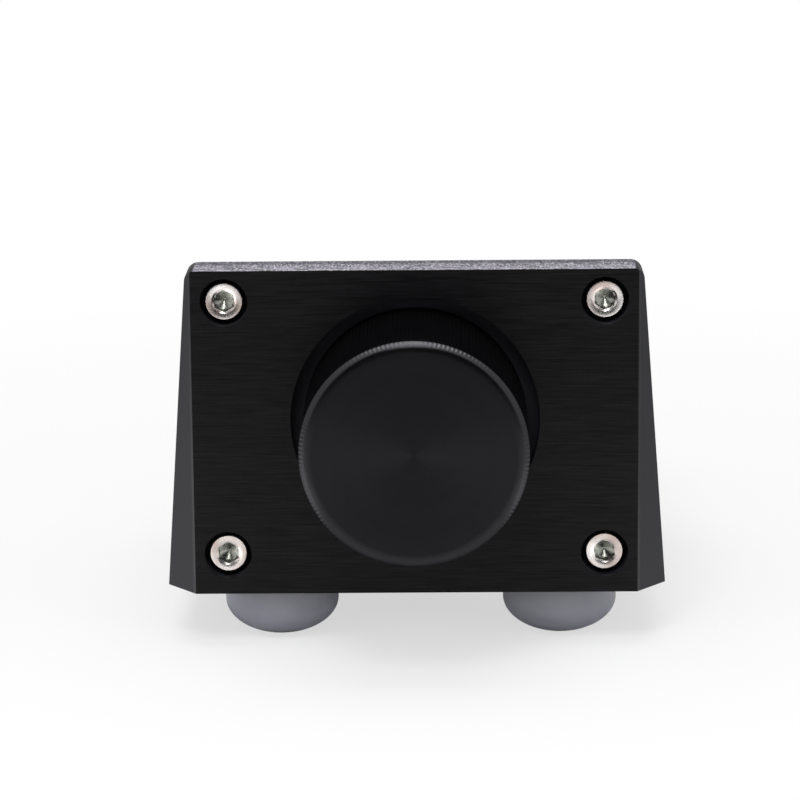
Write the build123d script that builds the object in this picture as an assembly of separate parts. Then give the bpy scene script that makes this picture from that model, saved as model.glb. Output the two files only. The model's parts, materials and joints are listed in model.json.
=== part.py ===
from build123d import *
import math
import os

# Studio monitor controller: a desk box with one large volume knob.
# Millimetres, +Z up. The front faces -Y, and +X is to the right seen from the front.
# The origin is on the desk, at the middle of the whole object's footprint.

# Front panel: a thick plate, a rectangle in front, with a bevelled and widening flank each side
face_width = 84.0
panel_height = 62.4
panel_thickness = 10.0
bevel_width_top = 1.0
bevel_width_bottom = 5.7
bevel_angle = 38.0
top_corner_radius = 2.3

# Knob, and the round recess that it turns in
knob_diameter = 42.0
knob_proud = 30.0
knob_edge_chamfer = 1.0
knob_crown_width = 1.4
knob_crown_drop = 0.2
knob_floor_gap = 1.0
knob_rise = 2.4
recess_gap = 2.5
recess_depth = 5.0
knurl_count = 160
knurl_depth = 0.3
knob_bore_depth = 18.0
knob_cavity_diameter = 19.0
knob_cavity_depth = 3.5
set_screw_diameter = 4.0
set_screw_length = 8.0
set_screw_socket_flats = 2.0
set_screw_socket_depth = 2.5
set_screw_setback = 9.0

# Screws that hold the front panel
cap_screw_diameter = 4.0
cap_screw_length = 12.0
cap_head_diameter = 7.0
cap_head_height = 4.0
cap_head_chamfer = 0.35
cap_socket_flats = 3.0
cap_socket_depth = 2.2
counterbore_diameter = 9.0
counterbore_depth = 5.5
panel_screw_inset_side = 6.25
panel_screw_inset_top = 6.1
panel_screw_inset_bottom = 7.6

# Case: a shell open below, in front and behind, whose top falls to the rear
case_depth = 80.0
case_inset = 0.8
case_wall = 2.5
case_top_slope = 12.5
case_edge_radius = 2.5
base_thickness = 3.0
rear_thickness = 3.0
block_margin = 4.0
block_floor = 1.0
tap_run_out = 1.5

# Small machine screws of the base, the rear panel and the board
screw_diameter = 3.0
screw_length = 8.0
board_screw_length = 5.0
flat_head_diameter = 5.6
flat_head_height = 1.5
pan_head_diameter = 5.6
pan_head_height = 1.8
pan_socket_flats = 2.0
pan_socket_depth = 1.1
rear_screw_inset_side = 10.0
rear_screw_inset_top = 6.0
base_screw_inset_side = 5.4
base_screw_inset_end = 5.0

# Feet: silicone domes with a small flat to stand on
foot_diameter = 22.0
foot_height = 10.8
foot_dome_height = 6.5
foot_flat_diameter = 5.4
foot_spacing = 53.8
foot_shift = 0.7
foot_setback = 14.0

# Volume potentiometer: casting, four gangs and rear plate, with its shaft through them
pot_width = 27.0
pot_casting_thickness = 5.0
pot_gang_count = 4
pot_frame_thickness = 5.4
pot_wafer_thickness = 1.2
pot_rear_thickness = 1.5
pot_frame_wall = 2.0
pot_wafer_hole_diameter = 8.4
shaft_diameter = 6.0
shaft_flat_depth = 0.8
shaft_flat_length = 14.0
shaft_tail = 2.0
bushing_diameter = 8.0
bushing_proud = 3.5
pot_washer_diameter = 14.0
pot_washer_thickness = 0.5
pot_nut_flats = 11.0
pot_nut_thickness = 2.0
lug_diameter = 2.0
lug_length = 2.0
lug_inset = 2.5
tie_diameter = 2.5
tie_inset = 2.3
tie_head_diameter = 4.4
tie_head_height = 1.4
tie_depth = 3.0
rotor_gap = 2.0
rotor_disc_thickness = 1.6
rotor_hub_diameter = 9.0
rotor_hub_length = 3.8
wiper_width = 1.6
wiper_thickness = 0.3
wiper_lift = 1.0
terminal_width = 1.0
terminal_thickness = 0.6
terminal_pitch = 5.0
terminal_count = 3
terminal_seat = 2.5
stop_pocket_diameter = 21.0
stop_hub_diameter = 14.0
stop_lug_reach = 9.4
stop_ear_reach = 7.8
stop_thickness = 1.6
stop_pocket_depth = 2.4
stop_half_angle = 13.0
clip_diameter = 9.6
clip_thickness = 0.7
clip_groove_depth = 0.5

# Board and its hexagonal standoffs
board_thickness = 1.6
board_side_gap = 2.3
board_front_gap = 2.0
board_rear_gap = 1.0
board_block_gap = 1.4
standoff_flats = 5.5
standoff_side_setback = 7.0
standoff_front_setback = 17.0
standoff_rear_setback = 38.0
pin_tail = 1.5

# Jacks for 6.35 mm plugs, in a row along the rear panel
jack_count = 4
jack_gap = 3.0
jack_bore_diameter = 6.5
jack_nose_diameter = 9.5
jack_nose_proud = 4.0
jack_width = 16.0
jack_height = 13.0
jack_depth = 28.0
jack_wall = 2.0
jack_neck = 4.0
jack_washer_diameter = 14.0
jack_washer_thickness = 0.6
jack_nut_flats = 12.7
jack_nut_thickness = 2.0
spring_width = 2.6
spring_thickness = 0.3
spring_leg_width = 1.0
spring_reach = 12.0
spring_inset = 0.9
spring_straight = 2.0
spring_flare = 3.0

# Clearances
fit_gap = 0.2
thread_gap = 0.05
running_gap = 0.05
soft_gap = 0.1
pin_gap = 0.2

# Places along Y, worked out from the sizes above
whole_depth = knob_proud + panel_thickness + case_depth + rear_thickness + jack_nose_proud
panel_front = knob_proud - whole_depth / 2
case_front = panel_front + panel_thickness
case_rear = case_front + case_depth
rear_face = case_rear + rear_thickness
recess_floor = panel_front + recess_depth
panel_web = panel_thickness - recess_depth
recess_diameter = knob_diameter + 2 * recess_gap

# Reach of the screws into the case's corner blocks
cap_screw_reach = cap_screw_length - (panel_thickness - counterbore_depth)
rear_screw_reach = screw_length - rear_thickness
base_screw_reach = screw_length - base_thickness
block_depth = cap_screw_reach + tap_run_out + block_floor

# Places along Z
panel_bottom = foot_height
panel_top = panel_bottom + panel_height
knob_z = panel_bottom + panel_height / 2 + knob_rise
shell_bottom = panel_bottom + base_thickness
case_top = panel_top - case_inset
case_top_rear = case_top - case_depth * math.tan(math.radians(case_top_slope))
panel_screw_low = panel_bottom + panel_screw_inset_bottom
panel_screw_high = panel_top - panel_screw_inset_top
board_bottom = panel_screw_low + block_margin + board_block_gap
board_top = board_bottom + board_thickness
standoff_height = board_bottom - shell_bottom
jack_z = board_top + jack_height / 2
pin_end = board_bottom - pin_tail

# Flanks lean in by this much for each millimetre of height
lean = (bevel_width_bottom - bevel_width_top) / panel_height
bottom_width = face_width + 2 * bevel_width_bottom


def half_width(z, inset):
    """Half the width between the leaning flanks at height z, less an inset each side."""
    return bottom_width / 2 - (z - panel_bottom) * lean - inset


board_half_width = half_width(board_top, case_inset + case_wall) - board_side_gap

# Screw places, as x and z seen from the front, or x and y seen from above
panel_screw_x = face_width / 2 - panel_screw_inset_side
rear_screw_x = bottom_width / 2 - case_inset - rear_screw_inset_side
rear_screw_low = panel_screw_low
rear_screw_high = case_top_rear - rear_screw_inset_top
base_screw_x = bottom_width / 2 - case_inset - base_screw_inset_side
base_screw_rows = (case_front + base_screw_inset_end, case_rear - base_screw_inset_end)
standoff_x = board_half_width - standoff_side_setback
standoff_rows = (case_front + standoff_front_setback, case_rear - standoff_rear_setback)


def four_spots(across, rows):
    """Places of four screws: the same distance left and right of the middle, in two rows."""
    return [(side * across, row) for side in (-1, 1) for row in rows]


panel_screw_spots = four_spots(panel_screw_x, (panel_screw_low, panel_screw_high))
rear_screw_spots = four_spots(rear_screw_x, (rear_screw_low, rear_screw_high))
base_screw_spots = four_spots(base_screw_x, base_screw_rows)
standoff_spots = four_spots(standoff_x, standoff_rows)
foot_left = foot_shift - foot_spacing / 2
foot_right = foot_shift + foot_spacing / 2
foot_spots = {
    "foot_front_left": (foot_left, panel_front + foot_setback),
    "foot_front_right": (foot_right, panel_front + foot_setback),
    "foot_rear_left": (foot_left, rear_face - foot_setback),
    "foot_rear_right": (foot_right, rear_face - foot_setback),
}

# Potentiometer sizes across, from its square outline inwards
pot_cavity_radius = pot_width / 2 - pot_frame_wall
rotor_radius = pot_cavity_radius - rotor_gap
tie_offset = pot_width / 2 - tie_inset
lug_z = knob_z + pot_width / 2 - lug_inset

# Potentiometer places along Y, from its seat on the back of the panel
gang_pitch = pot_frame_thickness + pot_wafer_thickness
gang_front = case_front + pot_casting_thickness
pot_rear_front = gang_front + pot_gang_count * gang_pitch
pot_rear_back = pot_rear_front + pot_rear_thickness
tie_spots = [(side * tie_offset, knob_z + side * tie_offset) for side in (-1, 1)]

# Jack places along X
jack_pitch = jack_width + jack_gap
jack_spots = [(n - (jack_count - 1) / 2) * jack_pitch for n in range(jack_count)]
jack_names = ["input_jack_left", "input_jack_right", "output_jack_left", "output_jack_right"]

# How a box or bar is set on its place: on its lower end, or on its lower front edge
LOW = (Align.CENTER, Align.CENTER, Align.MIN)
END = (Align.CENTER, Align.MIN, Align.MIN)


def facing(y, x=0, z=0):
    """Plane seen from the front at depth y: its x runs right, its y runs up."""
    return Plane(origin=(x, y, z), x_dir=(1, 0, 0), z_dir=(0, -1, 0))


def slab(outline, y, depth):
    """Solid of an outline seen from the front, from depth y backwards."""
    return extrude(facing(y) * outline, amount=-depth)


def rod(radius, x, y, z, depth):
    """Round bar that runs backwards from depth y."""
    return extrude(facing(y, x, z) * Circle(radius), amount=-depth)


def tube(outer, inner, x, y, z, depth):
    """Round bar with a bore through it."""
    return extrude(facing(y, x, z) * (Circle(outer) - Circle(inner)), amount=-depth)


def hexagon_nut(flats, bore, x, y, z, thickness):
    """Six-sided nut lying against a face at depth y, its flats upright."""
    outline = RegularPolygon(flats / 2, 6, major_radius=False) - Circle(bore)
    return extrude(facing(y, x, z) * outline, amount=-thickness)


def backwards(x, y, z):
    """Place for a piece modelled upright whose +Z is to run towards the rear."""
    return Plane(origin=(x, y, z), x_dir=(1, 0, 0), z_dir=(0, 1, 0))


def forwards(x, y, z):
    """Place for a piece modelled upright whose +Z is to run towards the front."""
    return facing(y, x, z)


def flank_outline(low, high, inset):
    """Outline between the leaning flanks, from one height to another."""
    wide = half_width(low, inset)
    narrow = half_width(high, inset)
    return Polygon((-wide, low), (wide, low), (narrow, high), (-narrow, high), align=None)


def high_corners(outline):
    """The two top corners of an outline."""
    return outline.vertices().group_by(Axis.Y)[-1]


def socket_screw(head_radius, head_height, radius, length, flats, socket_depth):
    """Screw with a hexagon socket: the head is below z = 0 and the shank above it."""
    head = Pos(0, 0, -head_height) * Cylinder(head_radius, head_height, align=LOW)
    shank = Cylinder(radius - thread_gap, length, align=LOW)
    socket = extrude(RegularPolygon(flats / 2, 6, major_radius=False), amount=socket_depth)
    return head + shank - Pos(0, 0, -head_height) * socket


def flat_screw(length):
    """Countersunk screw whose head's flat top lies at z = 0, with its shank above it."""
    head = Cone(flat_head_diameter / 2, screw_diameter / 2, flat_head_height, align=LOW)
    shank = Cylinder(screw_diameter / 2 - thread_gap, length, align=LOW)
    socket = extrude(RegularPolygon(pan_socket_flats / 2, 6, major_radius=False), amount=pan_socket_depth)
    return head + shank - socket


def countersunk_hole(x, y, depth):
    """Hole from below for a flat screw, with the cone for its head."""
    cone = Cone(flat_head_diameter / 2, screw_diameter / 2, flat_head_height, align=LOW)
    hole = Cylinder(screw_diameter / 2 + fit_gap, depth, align=LOW)
    return Pos(x, y, panel_bottom) * (cone + hole)


def front_panel():
    """Leaning trapezium plate, cut by two upright bevels, with its recess and its screw holes."""
    outline = flank_outline(panel_bottom, panel_top, 0)
    outline = fillet(high_corners(outline), top_corner_radius)
    plate = slab(outline, panel_front, panel_thickness)
    spread = panel_thickness * math.tan(math.radians(bevel_angle))
    front = face_width / 2
    bevelled = Polygon(
        (-front, panel_front),
        (front, panel_front),
        (front + spread, case_front),
        (-front - spread, case_front),
        align=None,
    )
    plate &= Pos(0, 0, panel_bottom) * extrude(bevelled, amount=panel_height)
    plate -= rod(recess_diameter / 2, 0, panel_front, knob_z, recess_depth)
    plate -= rod(bushing_diameter / 2 + fit_gap, 0, panel_front, knob_z, panel_thickness)
    lug_hole = lug_diameter / 2 + fit_gap
    plate -= rod(lug_hole, 0, case_front - lug_length - fit_gap, lug_z, lug_length + fit_gap)
    for x, z in panel_screw_spots:
        plate -= rod(counterbore_diameter / 2, x, panel_front, z, counterbore_depth)
        plate -= rod(cap_screw_diameter / 2 + fit_gap, x, panel_front, z, panel_thickness)
    return plate


def cap_screws():
    """Socket cap screws, their heads seated at the bottom of the counterbores."""
    head = cap_head_diameter / 2
    shank = cap_screw_diameter / 2
    screw = socket_screw(head, cap_head_height, shank, cap_screw_length, cap_socket_flats, cap_socket_depth)
    screw = chamfer(screw.edges().filter_by(GeomType.CIRCLE).group_by(Axis.Z)[0], cap_head_chamfer)
    return [backwards(x, panel_front + counterbore_depth, z) * screw for x, z in panel_screw_spots]


def case_solid(inset, low):
    """The space inside the case's outer faces, or inside its walls, as one solid."""
    prism = slab(flank_outline(low, case_top, inset), case_front, case_depth)
    drop = (inset - case_inset) / math.cos(math.radians(case_top_slope))
    side = Polygon(
        (case_front, low),
        (case_rear, low),
        (case_rear, case_top_rear - drop),
        (case_front, case_top - drop),
        align=None,
    )
    return prism & extrude(Plane.YZ * side, amount=bottom_width, both=True)


def corner_blocks(screw_x, screw_low, screw_high, y, outer):
    """Blocks round the four screws at one end of the shell, each out to its flank."""
    inward = screw_x - block_margin
    blocks = []
    for low, high in [(shell_bottom, screw_low + block_margin), (screw_high - block_margin, case_top)]:
        bar = Box(bottom_width, block_depth, high - low, align=END)
        bar -= Box(2 * inward, block_depth, high - low, align=END)
        blocks.append(Pos(0, y, low) * bar & outer)
    return blocks


def case_shell():
    """Top and two flanks in one piece, with a tapped block in each corner."""
    outer = case_solid(case_inset, shell_bottom)
    long_edges = outer.edges().filter_by(lambda edge: edge.length > case_depth)
    outer = fillet(long_edges, case_edge_radius)
    shell = outer - case_solid(case_inset + case_wall, shell_bottom)
    shell += corner_blocks(panel_screw_x, panel_screw_low, panel_screw_high, case_front, outer)
    shell += corner_blocks(rear_screw_x, rear_screw_low, rear_screw_high, case_rear - block_depth, outer)
    for x, z in panel_screw_spots:
        shell -= rod(cap_screw_diameter / 2, x, case_front, z, cap_screw_reach + tap_run_out)
    rear_depth = rear_screw_reach + tap_run_out
    for x, z in rear_screw_spots:
        shell -= rod(screw_diameter / 2, x, case_rear - rear_depth, z, rear_depth)
    base_hole = Cylinder(screw_diameter / 2, base_screw_reach + tap_run_out, align=LOW)
    for x, y in base_screw_spots:
        shell -= Pos(x, y, shell_bottom) * base_hole
    return shell


def base_plate():
    """Plate under the shell, countersunk below for its own screws and the standoffs' screws."""
    plate = slab(flank_outline(panel_bottom, shell_bottom, case_inset), case_front, case_depth)
    for x, y in base_screw_spots + standoff_spots:
        plate -= countersunk_hole(x, y, base_thickness)
    return plate


def rear_panel():
    """Rear plate with a hole for each jack and each screw."""
    outline = flank_outline(panel_bottom, case_top_rear, case_inset)
    outline = fillet(high_corners(outline), case_edge_radius)
    plate = slab(outline, case_rear, rear_thickness)
    for x in jack_spots:
        plate -= rod(jack_nose_diameter / 2 + fit_gap, x, case_rear, jack_z, rear_thickness)
    for x, z in rear_screw_spots:
        plate -= rod(screw_diameter / 2 + fit_gap, x, case_rear, z, rear_thickness)
    return plate


def rear_screws():
    """Pan screws driven forwards through the rear panel."""
    head = pan_head_diameter / 2
    shank = screw_diameter / 2
    screw = socket_screw(head, pan_head_height, shank, screw_length, pan_socket_flats, pan_socket_depth)
    return [forwards(x, rear_face, z) * screw for x, z in rear_screw_spots]


def foot(x, y):
    """Dome: a short round collar under the base, then half an ellipsoid cut flat below."""
    radius = foot_diameter / 2
    flat = foot_flat_diameter / foot_diameter
    reach = foot_dome_height / math.sqrt(1 - flat**2)
    corner = (Align.MIN, Align.MIN)
    dome = Pos(0, foot_dome_height) * Ellipse(radius, reach)
    dome &= Rectangle(radius, foot_dome_height, align=corner)
    collar = Pos(0, foot_dome_height) * Rectangle(radius, foot_height - foot_dome_height, align=corner)
    return Pos(x, y, 0) * revolve(Plane.XZ * (dome + collar), Axis.Z)


def knurl_outline():
    """Round outline of the knob's grip: ridges and grooves taken turn about, with sharp crests."""
    crest = knob_diameter / 2
    groove = crest - knurl_depth
    step = math.pi / knurl_count
    radii = [crest, groove] * knurl_count
    points = [(r * math.cos(n * step), r * math.sin(n * step)) for n, r in enumerate(radii)]
    return Polygon(*points, align=None)


def turned_space(length):
    """Space that the knob is turned to: a face, a crown, a chamfer, and a step where the knurl starts."""
    chamfer_inner = knob_diameter / 2 - knob_edge_chamfer
    groove = knob_diameter / 2 - knurl_depth
    step = knob_crown_drop + groove - chamfer_inner
    outline = Polygon(
        (0, 0),
        (chamfer_inner - knob_crown_width, 0),
        (chamfer_inner, knob_crown_drop),
        (groove, step),
        (knob_diameter, step),
        (knob_diameter, length),
        (0, length),
        align=None,
    )
    return revolve(Plane.XZ * outline, Axis.Z)


def knob():
    """Knob: knurled grip whose front is turned to shape, with a shaft bore and a cavity behind."""
    front = panel_front - knob_proud
    back = recess_floor - knob_floor_gap
    grip = extrude(facing(front, 0, knob_z) * knurl_outline(), amount=front - back)
    body = grip & backwards(0, front, knob_z) * turned_space(back - front)
    body -= rod(shaft_diameter / 2 + running_gap, 0, back - knob_bore_depth, knob_z, knob_bore_depth)
    body -= rod(knob_cavity_diameter / 2, 0, back - knob_cavity_depth, knob_z, knob_cavity_depth)
    hole = Cylinder(set_screw_diameter / 2, knob_diameter / 2, align=LOW)
    return body - Pos(0, back - set_screw_setback, knob_z - knob_diameter / 2) * hole


def set_screw():
    """Grub screw below the shaft, its point on the shaft's flat."""
    radius = set_screw_diameter / 2 - thread_gap
    socket = RegularPolygon(set_screw_socket_flats / 2, 6, major_radius=False)
    grub = Cylinder(radius, set_screw_length, align=LOW) - extrude(socket, amount=set_screw_socket_depth)
    tip = knob_z - shaft_diameter / 2 + shaft_flat_depth
    return Pos(0, recess_floor - knob_floor_gap - set_screw_setback, tip - set_screw_length) * grub


def pot_shaft():
    """Round shaft with a flat below for the grub screw and a clip groove at its tail."""
    front = recess_floor - knob_floor_gap - knob_bore_depth + fit_gap
    radius = shaft_diameter / 2
    shaft = rod(radius, 0, front, knob_z, pot_rear_back + shaft_tail - front)
    cut = Box(shaft_diameter, shaft_flat_length, shaft_diameter, align=(Align.CENTER, Align.MIN, Align.MAX))
    shaft -= Pos(0, front, knob_z - radius + shaft_flat_depth) * cut
    groove = pot_rear_back + running_gap
    return shaft - tube(radius + fit_gap, radius - clip_groove_depth, 0, groove, knob_z, clip_thickness)


def shaft_clip():
    """Open clip in the groove at the shaft's tail."""
    groove = shaft_diameter / 2 - clip_groove_depth
    clip = tube(clip_diameter / 2, groove, 0, pot_rear_back + running_gap, knob_z, clip_thickness)
    mouth = Box(2 * groove, clip_thickness, clip_diameter, align=END)
    return clip - Pos(0, pot_rear_back + running_gap, knob_z) * mouth


def sector(outer, inner, middle, half_angle):
    """Outline of a ring's sector, its middle at an angle from straight up."""
    reach = outer / math.cos(math.radians(half_angle))
    wedge = Polygon(
        (0, 0),
        (reach * math.sin(math.radians(half_angle)), reach * math.cos(math.radians(half_angle))),
        (-reach * math.sin(math.radians(half_angle)), reach * math.cos(math.radians(half_angle))),
        align=None,
    )
    return Rot(0, 0, middle) * (wedge & (Circle(outer) - Circle(inner)))


def pot_casting():
    """Front casting: square body, threaded bushing, locating lug, and a pocket with the stop's ear."""
    square = Pos(0, knob_z) * Rectangle(pot_width, pot_width)
    body = slab(square, case_front, pot_casting_thickness)
    neck = panel_web + bushing_proud
    body += rod(bushing_diameter / 2, 0, case_front - neck, knob_z, neck)
    body += rod(lug_diameter / 2, 0, case_front - lug_length, lug_z, lug_length)
    pocket = stop_pocket_diameter / 2
    outline = Circle(pocket) - sector(pocket, stop_ear_reach, 180, stop_half_angle)
    body -= extrude(facing(gang_front - stop_pocket_depth, 0, knob_z) * outline, amount=-stop_pocket_depth)
    body -= rod(shaft_diameter / 2 + running_gap, 0, case_front - neck, knob_z, neck + pot_casting_thickness)
    for x, z in tie_spots:
        body -= rod(tie_diameter / 2, x, gang_front - tie_depth, z, tie_depth)
    return body


def stop_disc():
    """Disc on the shaft whose lug meets the casting's ear at each end of the travel."""
    lug = sector(stop_lug_reach, shaft_diameter / 2, 0, stop_half_angle)
    outline = Circle(stop_hub_diameter / 2) + lug - Circle(shaft_diameter / 2)
    front = gang_front - (stop_pocket_depth + stop_thickness) / 2
    return extrude(facing(front, 0, knob_z) * outline, amount=-stop_thickness)


def gang_frames():
    """Square frame of each gang, open in the middle for its rotor."""
    frames = []
    for n in range(pot_gang_count):
        y = gang_front + n * gang_pitch
        frame = slab(Pos(0, knob_z) * Rectangle(pot_width, pot_width), y, pot_frame_thickness)
        frame -= rod(pot_cavity_radius, 0, y, knob_z, pot_frame_thickness)
        for x, z in tie_spots:
            frame -= rod(tie_diameter / 2 + fit_gap, x, y, z, pot_frame_thickness)
        frames.append(frame)
    return frames


def terminal_spots():
    """Place of each potentiometer pin, as x and the depth of its wafer's middle."""
    first = -(terminal_count - 1) / 2 * terminal_pitch
    middle = gang_front + pot_frame_thickness + pot_wafer_thickness / 2
    return [
        (first + k * terminal_pitch, middle + n * gang_pitch)
        for n in range(pot_gang_count)
        for k in range(terminal_count)
    ]


def pot_pin(x, y, low):
    """Flat pin from a seat in its wafer down to a height."""
    high = knob_z - pot_width / 2 + terminal_seat
    pin = Box(terminal_width, terminal_thickness, high - low, align=LOW)
    return Pos(x, y, low) * pin


def track_wafers():
    """Track wafer behind each gang frame, with a seat for each pin."""
    wafers = []
    for n in range(pot_gang_count):
        y = gang_front + pot_frame_thickness + n * gang_pitch
        wafer = slab(Pos(0, knob_z) * Rectangle(pot_width, pot_width), y, pot_wafer_thickness)
        wafer -= rod(pot_wafer_hole_diameter / 2, 0, y, knob_z, pot_wafer_thickness)
        for x, z in tie_spots:
            wafer -= rod(tie_diameter / 2 + fit_gap, x, y, z, pot_wafer_thickness)
        for x, pin_y in terminal_spots():
            if y < pin_y < y + pot_wafer_thickness:
                wafer -= pot_pin(x, pin_y, pin_end)
        wafers.append(wafer)
    return wafers


def rotors():
    """Rotor of each gang: a disc with a hub, pressed on the shaft."""
    pieces = []
    for n in range(pot_gang_count):
        hub_front = gang_front + n * gang_pitch + (pot_frame_thickness - rotor_hub_length) / 2
        rotor = tube(rotor_hub_diameter / 2, shaft_diameter / 2, 0, hub_front, knob_z, rotor_hub_length)
        rotor += tube(rotor_radius, shaft_diameter / 2, 0, hub_front, knob_z, rotor_disc_thickness)
        pieces.append(rotor)
    return pieces


def wipers():
    """Spring wiper of each gang: an arm on the rotor that reaches back to the track."""
    pieces = []
    for n in range(pot_gang_count):
        front = gang_front + n * gang_pitch
        disc_back = front + (pot_frame_thickness - rotor_hub_length) / 2 + rotor_disc_thickness
        track = front + pot_frame_thickness - soft_gap
        inner = rotor_hub_diameter / 2 + fit_gap
        outline = Polygon(
            (disc_back, inner),
            (disc_back, inner + wiper_lift),
            (track, rotor_radius),
            (track, rotor_radius - wiper_thickness),
            (disc_back + wiper_thickness, inner + wiper_lift),
            (disc_back + wiper_thickness, inner),
            align=None,
        )
        pieces.append(Pos(0, 0, knob_z) * extrude(Plane.YZ * outline, amount=wiper_width / 2, both=True))
    return pieces


def pot_rear_plate():
    """Plate that closes the stack and steadies the shaft's tail."""
    plate = slab(Pos(0, knob_z) * Rectangle(pot_width, pot_width), pot_rear_front, pot_rear_thickness)
    plate -= rod(shaft_diameter / 2 + running_gap, 0, pot_rear_front, knob_z, pot_rear_thickness)
    for x, z in tie_spots:
        plate -= rod(tie_diameter / 2 + fit_gap, x, pot_rear_front, z, pot_rear_thickness)
    return plate


def tie_screws():
    """Long screws that draw the stack together, driven forwards into the casting."""
    length = pot_rear_back - gang_front + tie_depth - fit_gap
    head = Pos(0, 0, -tie_head_height) * Cylinder(tie_head_diameter / 2, tie_head_height, align=LOW)
    screw = head + Cylinder(tie_diameter / 2 - thread_gap, length, align=LOW)
    return [forwards(x, pot_rear_back, z) * screw for x, z in tie_spots]


def pot_washer():
    """Flat washer on the floor of the recess."""
    outer = pot_washer_diameter / 2
    inner = bushing_diameter / 2 + fit_gap
    return tube(outer, inner, 0, recess_floor - pot_washer_thickness, knob_z, pot_washer_thickness)


def pot_nut():
    """Nut on the bushing, in front of the washer."""
    front = recess_floor - pot_washer_thickness - pot_nut_thickness
    return hexagon_nut(pot_nut_flats, bushing_diameter / 2 + thread_gap, 0, front, knob_z, pot_nut_thickness)


def jack_body(x):
    """Jack: threaded nose through the rear panel, plug bore, and a spring chamber open below."""
    middle = (jack_width / 2, jack_height / 2)
    body = slab(Pos(x, jack_z) * Rectangle(jack_width, jack_height), case_rear - jack_depth, jack_depth)
    body += rod(jack_nose_diameter / 2, x, case_rear, jack_z, rear_thickness + jack_nose_proud)
    chamber = Box(
        2 * (middle[0] - jack_wall),
        jack_depth - jack_neck - jack_wall,
        jack_height - jack_wall,
        align=(Align.CENTER, Align.MAX, Align.MIN),
    )
    body -= Pos(x, case_rear - jack_neck, jack_z - middle[1]) * chamber
    bore = jack_neck + rear_thickness + jack_nose_proud
    return body - rod(jack_bore_diameter / 2, x, case_rear - jack_neck, jack_z, bore)


def jack_washers():
    """Washer of each jack on the rear panel."""
    outer = jack_washer_diameter / 2
    inner = jack_nose_diameter / 2 + fit_gap
    return [tube(outer, inner, x, rear_face, jack_z, jack_washer_thickness) for x in jack_spots]


def jack_nuts():
    """Nut of each jack, against its washer."""
    bore = jack_nose_diameter / 2 + thread_gap
    front = rear_face + jack_washer_thickness
    return [hexagon_nut(jack_nut_flats, bore, x, front, jack_z, jack_nut_thickness) for x in jack_spots]


def spring_spots():
    """Place of each contact spring's leg within a jack: its side, and how far it is from the rear panel."""
    back = jack_depth - jack_wall
    return {"tip": (1, back), "ring": (-1, back - spring_reach / 2)}


def spring_leg_x(side):
    """Distance of a contact spring's leg from the jack's axis, to its own side."""
    return side * (jack_width / 2 - jack_wall - spring_inset + spring_thickness / 2)


def contact_springs(name):
    """One kind of contact spring in every jack: a bent strip with a leg down through the board."""
    side, back = spring_spots()[name]
    wall = jack_width / 2 - jack_wall
    touch = jack_bore_diameter / 2 + soft_gap
    route = [
        (wall - spring_inset, 0),
        (wall - spring_inset, spring_straight),
        (touch, spring_reach - spring_flare),
        (touch + spring_inset, spring_reach),
    ]
    outline = Polygon(
        *[(side * x, along) for x, along in route],
        *[(side * (x + spring_thickness), along) for x, along in reversed(route)],
        align=None,
    )
    strip = Pos(0, 0, -spring_width / 2) * extrude(outline, amount=spring_width)
    leg = Pos(0, 0, pin_end - jack_z) * Box(spring_thickness, spring_leg_width, jack_z - pin_end, align=END)
    spring = strip + Pos(spring_leg_x(side), 0, 0) * leg
    return [Pos(x, case_rear - back, jack_z) * spring for x in jack_spots]


def sleeve_terminals():
    """Sleeve terminal of each jack: a blade under the plug's path, with its foot through the board."""
    height = jack_z - jack_bore_diameter / 2 - soft_gap - pin_end
    blade = Box(spring_width, spring_leg_width, height, align=LOW)
    y = case_rear - jack_neck - spring_leg_width / 2
    return [Pos(x, y, pin_end) * blade for x in jack_spots]


def board_slots():
    """Middle, width and length of the plated slot for each flat pin in the board."""
    slots = [(x, y, terminal_width, terminal_thickness) for x, y in terminal_spots()]
    half_leg = spring_leg_width / 2
    for x in jack_spots:
        for side, back in spring_spots().values():
            leg_x = x + spring_leg_x(side)
            slots.append((leg_x, case_rear - back + half_leg, spring_thickness, spring_leg_width))
        slots.append((x, case_rear - jack_neck - half_leg, spring_width, spring_leg_width))
    return slots


def main_board():
    """Board that carries the potentiometer's pins and the jacks."""
    front = case_front + board_front_gap
    length = case_depth - board_front_gap - board_rear_gap
    board = Pos(0, front, board_bottom) * Box(2 * board_half_width, length, board_thickness, align=END)
    for x, y, wide, long in board_slots():
        slot = Box(wide + 2 * pin_gap, long + 2 * pin_gap, board_thickness, align=LOW)
        board -= Pos(x, y, board_bottom) * slot
    for x, y in standoff_spots:
        board -= Pos(x, y, board_bottom) * Cylinder(screw_diameter / 2 + fit_gap, board_thickness, align=LOW)
    return board


def standoffs():
    """Tapped hexagonal standoffs between the base plate and the board."""
    outline = RegularPolygon(standoff_flats / 2, 6, major_radius=False) - Circle(screw_diameter / 2)
    return [Pos(x, y, shell_bottom) * extrude(outline, amount=standoff_height) for x, y in standoff_spots]


def board_screws():
    """Pan screws through the board into the standoffs."""
    head = Pos(0, 0, -pan_head_height) * Cylinder(pan_head_diameter / 2, pan_head_height, align=LOW)
    shank = Cylinder(screw_diameter / 2 - thread_gap, board_screw_length, align=LOW)
    return [Pos(x, y, board_top) * Rot(180, 0, 0) * (head + shank) for x, y in standoff_spots]


def flat_screws(spots):
    """Flat screws driven up through the base plate."""
    return [Pos(x, y, panel_bottom) * flat_screw(screw_length) for x, y in spots]


def save(name, pieces):
    """Write one node's solids to its own file."""
    if not isinstance(pieces, list):
        pieces = [pieces]
    solids = [solid for piece in pieces for solid in piece.solids()]
    export_step(Compound(solids), f"parts/{name}.step")


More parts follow.
